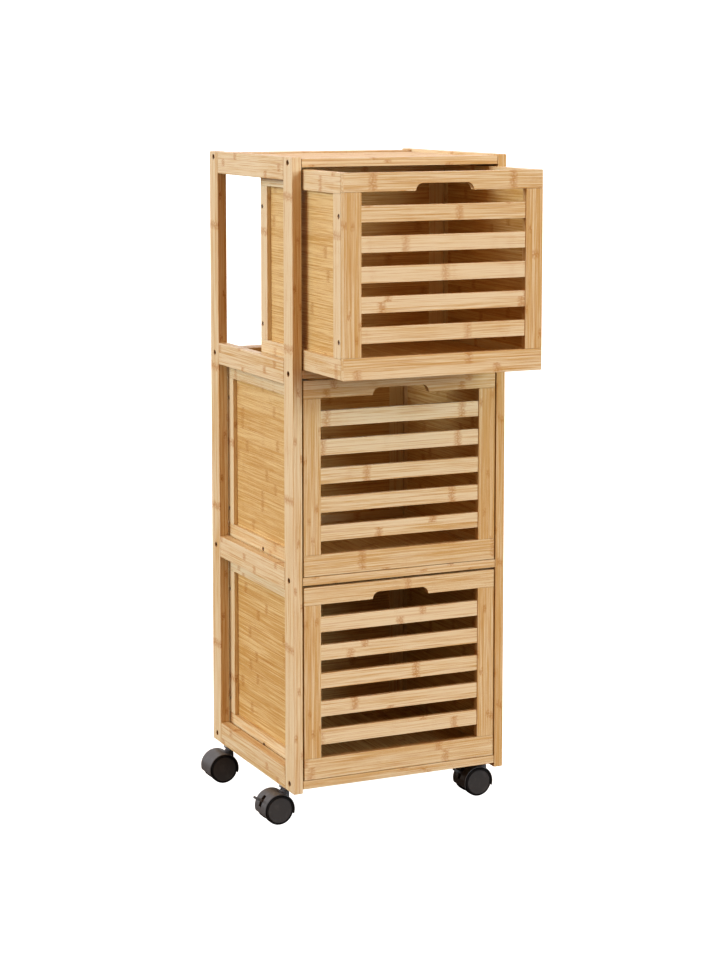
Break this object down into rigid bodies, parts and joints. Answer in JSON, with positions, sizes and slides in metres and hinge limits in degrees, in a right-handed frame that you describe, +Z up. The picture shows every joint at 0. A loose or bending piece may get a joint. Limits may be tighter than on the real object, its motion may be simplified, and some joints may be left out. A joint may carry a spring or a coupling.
{
  "type": "laundry sorter on wheels",
  "caption": "Tall narrow bamboo rolling cart: open post-and-rail frame holding slatted-front pull-out drawers one above another, on swivelling twin-wheel casters.",
  "frame": {"origin": "on the floor, at the middle of the whole cart's bounding box as it stands at rest, with the top drawer part open and the casters trailing to the left", "axes": "+Z up; the drawers open towards -Y; +X is to the right of someone facing the drawers"},
  "size_m": [0.3724, 0.445, 0.9409],
  "materials": {
    "bamboo": "satin clear lacquer over light bamboo",
    "black_plastic": "matt",
    "dark_tyre": "matt",
    "zinc_steel": "zinc plated"
  },
  "bodies": {
    "cabinet": {"post_front_left": "bamboo", "post_front_right": "bamboo", "post_rear_left": "bamboo", "post_rear_right": "bamboo", "side_rail_left_bottom": "bamboo", "side_rail_left_lower": "bamboo", "side_rail_left_upper": "bamboo", "side_rail_left_top": "bamboo", "side_rail_right_bottom": "bamboo", "side_rail_right_lower": "bamboo", "side_rail_right_upper": "bamboo", "side_rail_right_top": "bamboo", "cross_rail_front_bottom": "bamboo", "cross_rail_front_lower": "bamboo", "cross_rail_front_upper": "bamboo", "cross_rail_front_top": "bamboo", "cross_rail_rear_bottom": "bamboo", "cross_rail_rear_lower": "bamboo", "cross_rail_rear_upper": "bamboo", "cross_rail_rear_top": "bamboo", "runner_left_bottom": "bamboo", "runner_left_middle": "bamboo", "runner_left_top": "bamboo", "runner_right_bottom": "bamboo", "runner_right_middle": "bamboo", "runner_right_top": "bamboo", "top_panel": "bamboo", "caster_front_left_stem": "zinc_steel", "caster_front_right_stem": "zinc_steel", "caster_rear_left_stem": "zinc_steel", "caster_rear_right_stem": "zinc_steel"},
    "drawer_bottom": {"drawer_bottom_front": "bamboo", "drawer_bottom_side_left": "bamboo", "drawer_bottom_side_right": "bamboo", "drawer_bottom_back": "bamboo", "drawer_bottom_floor": "bamboo"},
    "drawer_middle": {"drawer_middle_front": "bamboo", "drawer_middle_side_left": "bamboo", "drawer_middle_side_right": "bamboo", "drawer_middle_back": "bamboo", "drawer_middle_floor": "bamboo"},
    "drawer_top": {"drawer_top_front": "bamboo", "drawer_top_side_left": "bamboo", "drawer_top_side_right": "bamboo", "drawer_top_back": "bamboo", "drawer_top_floor": "bamboo"},
    "caster_front_left": {"caster_front_left_hood": "black_plastic"},
    "caster_front_left_wheel_front_body": {"caster_front_left_wheel_front": "dark_tyre"},
    "caster_front_left_wheel_rear_body": {"caster_front_left_wheel_rear": "dark_tyre"},
    "caster_front_left_brake": {"caster_front_left_brake_lever": "black_plastic"},
    "caster_front_right": {"caster_front_right_hood": "black_plastic"},
    "caster_front_right_wheel_front_body": {"caster_front_right_wheel_front": "dark_tyre"},
    "caster_front_right_wheel_rear_body": {"caster_front_right_wheel_rear": "dark_tyre"},
    "caster_front_right_brake": {"caster_front_right_brake_lever": "black_plastic"},
    "caster_rear_left": {"caster_rear_left_hood": "black_plastic"},
    "caster_rear_left_wheel_front_body": {"caster_rear_left_wheel_front": "dark_tyre"},
    "caster_rear_left_wheel_rear_body": {"caster_rear_left_wheel_rear": "dark_tyre"},
    "caster_rear_right": {"caster_rear_right_hood": "black_plastic"},
    "caster_rear_right_wheel_front_body": {"caster_rear_right_wheel_front": "dark_tyre"},
    "caster_rear_right_wheel_rear_body": {"caster_rear_right_wheel_rear": "dark_tyre"}
  },
  "joints": [
    {"name": "drawer_bottom_slide", "type": "slide", "parent": "cabinet", "child": "drawer_bottom", "axis": [0, -1, 0], "range_m": [0, 0.23]},
    {"name": "drawer_middle_slide", "type": "slide", "parent": "cabinet", "child": "drawer_middle", "axis": [0, -1, 0], "range_m": [0, 0.23]},
    {"name": "drawer_top_slide", "type": "slide", "parent": "cabinet", "child": "drawer_top", "axis": [0, -1, 0], "range_m": [-0.134, 0.096]},
    {"name": "caster_front_left_swivel", "type": "hinge", "parent": "cabinet", "child": "caster_front_left", "pos_m": [-0.13816, -0.037, 0.0515], "axis": [0, 0, 1], "continuous": true},
    {"name": "caster_front_left_wheel_front_spin", "type": "hinge", "parent": "caster_front_left", "child": "caster_front_left_wheel_front_body", "pos_m": [-0.15296, -0.037, 0.0209], "axis": [0, 1, 0], "continuous": true},
    {"name": "caster_front_left_wheel_rear_spin", "type": "hinge", "parent": "caster_front_left", "child": "caster_front_left_wheel_rear_body", "pos_m": [-0.15296, -0.037, 0.0209], "axis": [0, 1, 0], "continuous": true},
    {"name": "caster_front_left_brake_hinge", "type": "hinge", "parent": "caster_front_left", "child": "caster_front_left_brake", "pos_m": [-0.15296, -0.037, 0.0209], "axis": [0, -1, 0], "range_deg": [-14, 14]},
    {"name": "caster_front_right_swivel", "type": "hinge", "parent": "cabinet", "child": "caster_front_right", "pos_m": [0.17784, -0.037, 0.0515], "axis": [0, 0, 1], "continuous": true},
    {"name": "caster_front_right_wheel_front_spin", "type": "hinge", "parent": "caster_front_right", "child": "caster_front_right_wheel_front_body", "pos_m": [0.16304, -0.037, 0.0209], "axis": [0, 1, 0], "continuous": true},
    {"name": "caster_front_right_wheel_rear_spin", "type": "hinge", "parent": "caster_front_right", "child": "caster_front_right_wheel_rear_body", "pos_m": [0.16304, -0.037, 0.0209], "axis": [0, 1, 0], "continuous": true},
    {"name": "caster_front_right_brake_hinge", "type": "hinge", "parent": "caster_front_right", "child": "caster_front_right_brake", "pos_m": [0.16304, -0.037, 0.0209], "axis": [0, -1, 0], "range_deg": [-14, 14]},
    {"name": "caster_rear_left_swivel", "type": "hinge", "parent": "cabinet", "child": "caster_rear_left", "pos_m": [-0.13816, 0.177, 0.0515], "axis": [0, 0, 1], "continuous": true},
    {"name": "caster_rear_left_wheel_front_spin", "type": "hinge", "parent": "caster_rear_left", "child": "caster_rear_left_wheel_front_body", "pos_m": [-0.15296, 0.177, 0.0209], "axis": [0, 1, 0], "continuous": true},
    {"name": "caster_rear_left_wheel_rear_spin", "type": "hinge", "parent": "caster_rear_left", "child": "caster_rear_left_wheel_rear_body", "pos_m": [-0.15296, 0.177, 0.0209], "axis": [0, 1, 0], "continuous": true},
    {"name": "caster_rear_right_swivel", "type": "hinge", "parent": "cabinet", "child": "caster_rear_right", "pos_m": [0.17784, 0.177, 0.0515], "axis": [0, 0, 1], "continuous": true},
    {"name": "caster_rear_right_wheel_front_spin", "type": "hinge", "parent": "caster_rear_right", "child": "caster_rear_right_wheel_front_body", "pos_m": [0.16304, 0.177, 0.0209], "axis": [0, 1, 0], "continuous": true},
    {"name": "caster_rear_right_wheel_rear_spin", "type": "hinge", "parent": "caster_rear_right", "child": "caster_rear_right_wheel_rear_body", "pos_m": [0.16304, 0.177, 0.0209], "axis": [0, 1, 0], "continuous": true}
  ]
}
